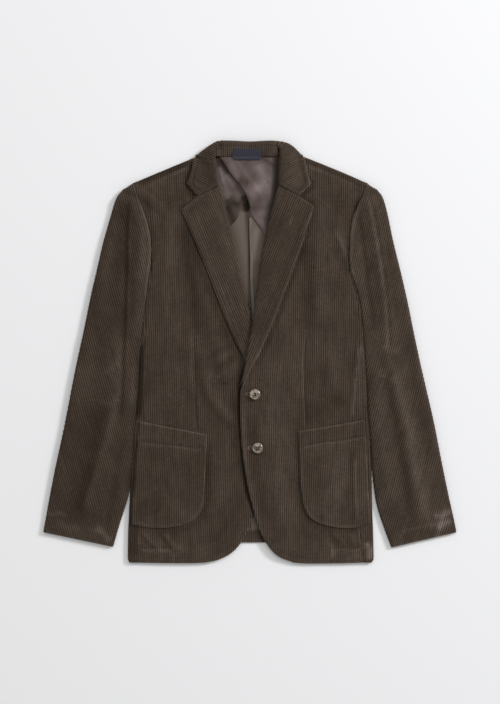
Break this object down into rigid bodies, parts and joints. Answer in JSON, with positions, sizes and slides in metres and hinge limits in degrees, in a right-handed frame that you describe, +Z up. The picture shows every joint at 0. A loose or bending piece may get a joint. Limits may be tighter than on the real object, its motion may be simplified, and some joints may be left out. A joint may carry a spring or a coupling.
{
  "type": "corduroy jacket laid flat",
  "caption": "Single-breasted corduroy jacket with notched lapels and patch pockets, buttoned and laid flat on its back.",
  "frame": {"origin": "on the surface it lies on, under the middle of the jacket", "axes": "+Z up from the surface, +Y towards the collar, +X towards the wearer's left sleeve"},
  "size_m": [0.7635, 0.7806, 0.0181],
  "materials": {
    "corduroy": "matte",
    "lining": "satin",
    "label": "matte",
    "button": "satin"
  },
  "bodies": {
    "root": {"back_left": "corduroy", "back_right": "corduroy", "side_panel_left": "corduroy", "side_panel_right": "corduroy", "front_left": "corduroy", "front_right": "corduroy", "lapel_left": "corduroy", "lapel_right": "corduroy", "collar": "corduroy", "collar_stand": "corduroy", "pocket_left": "corduroy", "pocket_right": "corduroy", "sleeve_top_left": "corduroy", "sleeve_top_right": "corduroy", "sleeve_under_left": "corduroy", "sleeve_under_right": "corduroy", "lining_left": "lining", "lining_right": "lining", "centre_back_binding": "lining", "neck_label": "label", "button_upper": "button", "button_lower": "button"}
  },
  "joints": []
}
